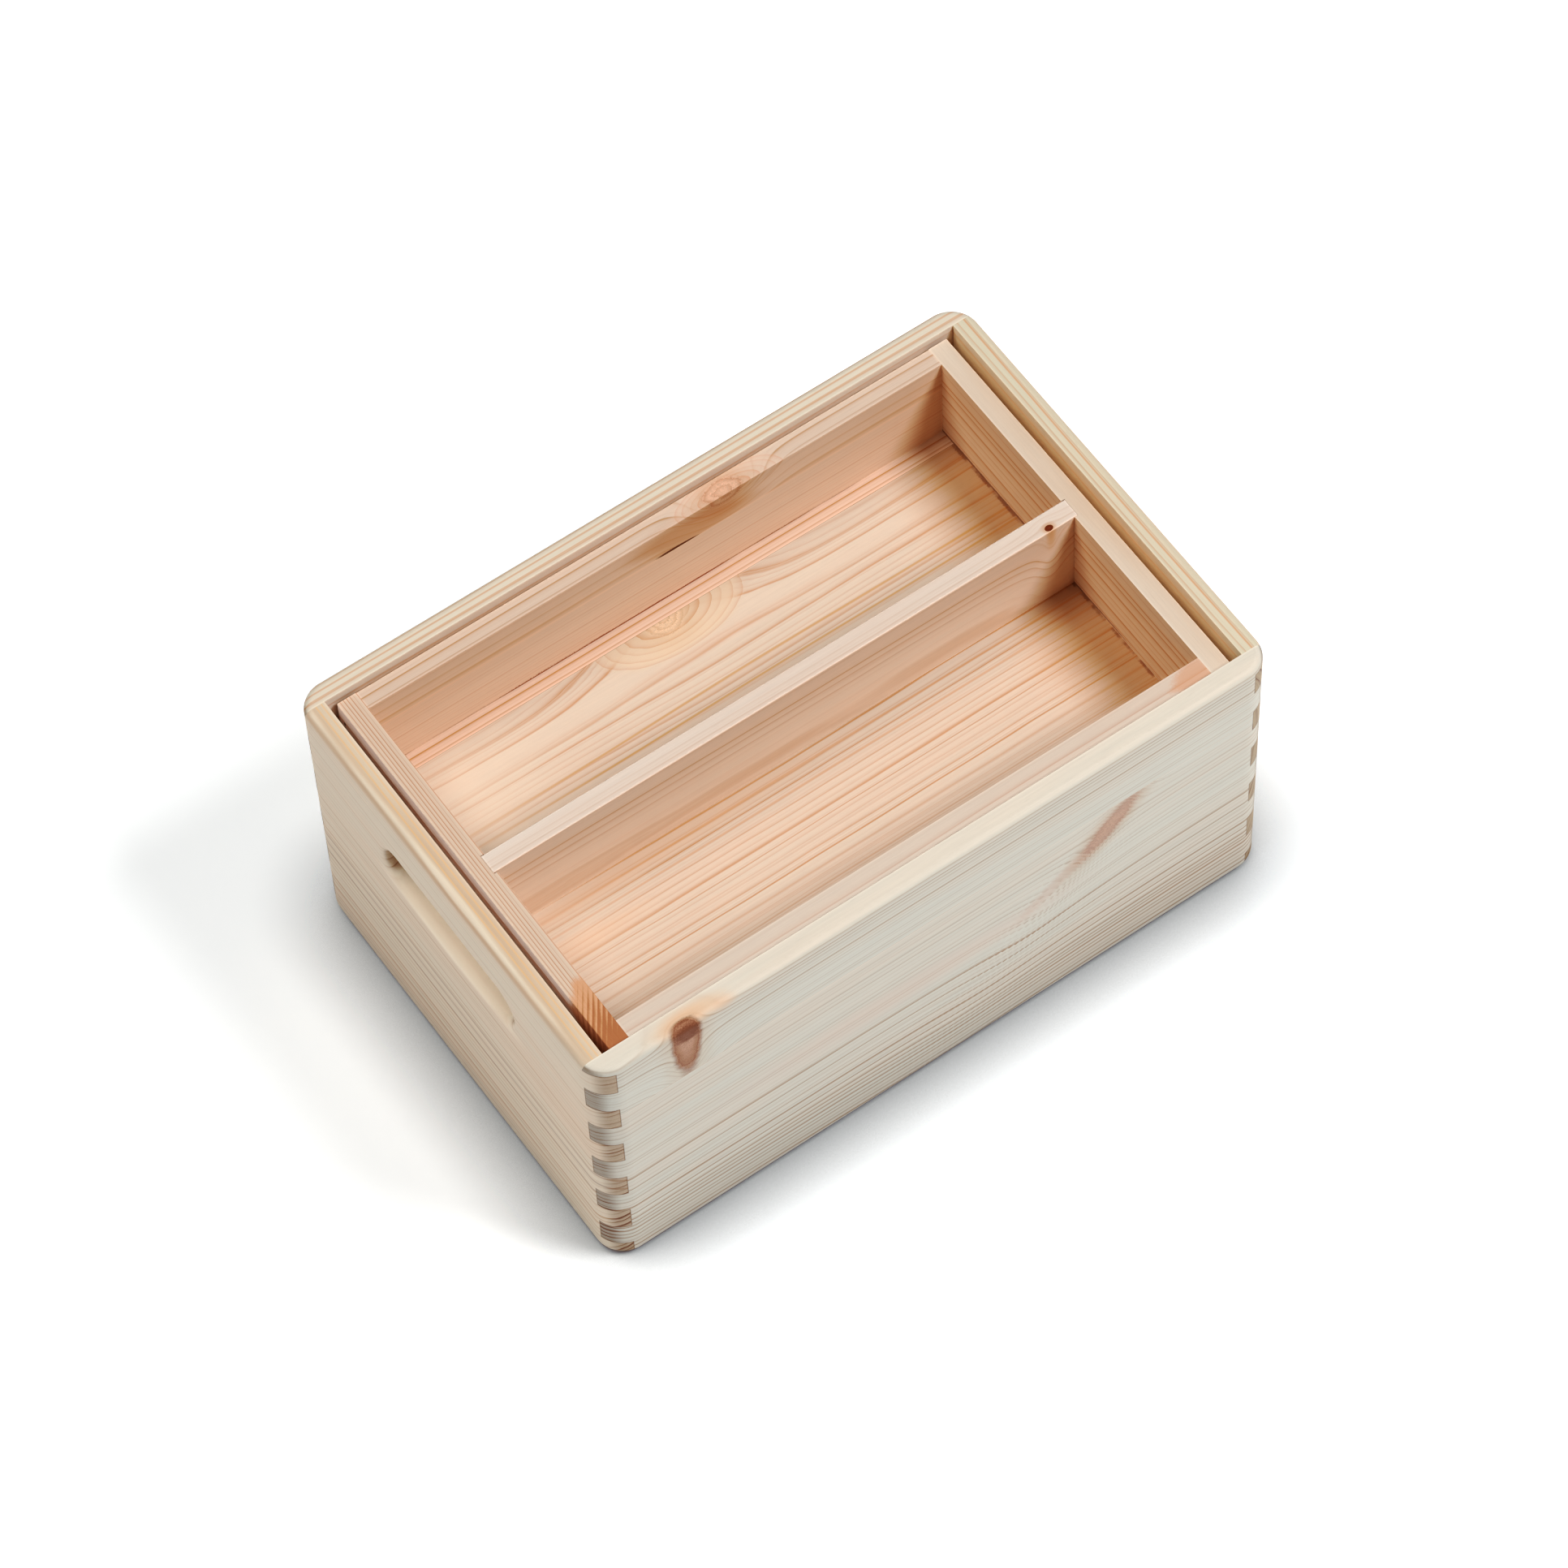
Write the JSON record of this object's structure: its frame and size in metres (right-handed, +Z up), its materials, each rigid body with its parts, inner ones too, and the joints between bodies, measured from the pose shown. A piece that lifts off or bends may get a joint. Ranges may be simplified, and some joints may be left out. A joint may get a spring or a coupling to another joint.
{
  "type": "toy box",
  "caption": "Open wooden toy crate with finger-jointed corners, hand-hold slots in its ends, and a lift-out tray split lengthwise by a lift-out divider.",
  "frame": {"origin": "centre of the crate's underside", "axes": "+X along the long side, +Y from the front long wall to the back one, +Z up"},
  "size_m": [0.3, 0.198, 0.142],
  "materials": {
    "crate_pine": "raw sanded pine",
    "tray_pine": "raw sanded pine",
    "divider_pine": "raw sanded pine",
    "ledge_pine": "raw sanded pine",
    "panel_ply": "raw sanded plywood",
    "brad_steel": "bright drawn wire"
  },
  "bodies": {
    "crate": {"front_wall_upper_stave": "crate_pine", "front_wall_lower_stave": "crate_pine", "back_wall": "crate_pine", "left_end": "crate_pine", "right_end": "crate_pine", "bottom_panel": "panel_ply", "front_ledge": "ledge_pine", "back_ledge": "ledge_pine", "ledge_brads": "brad_steel"},
    "tray": {"tray_left_end": "tray_pine", "tray_right_end": "tray_pine", "tray_front_side": "tray_pine", "tray_back_side_upper_stave": "tray_pine", "tray_back_side_lower_stave": "tray_pine", "tray_floor_main_stave": "tray_pine", "tray_floor_back_stave": "tray_pine", "tray_corner_brads": "brad_steel", "tray_floor_brads": "brad_steel"},
    "divider": {"divider": "divider_pine"}
  },
  "joints": [
    {"name": "tray_lift", "type": "slide", "parent": "crate", "child": "tray", "axis": [0, 0, 1], "range_m": [0, 0.075]},
    {"name": "divider_lift", "type": "slide", "parent": "tray", "child": "divider", "axis": [0, 0, 1], "range_m": [0, 0.055]}
  ]
}
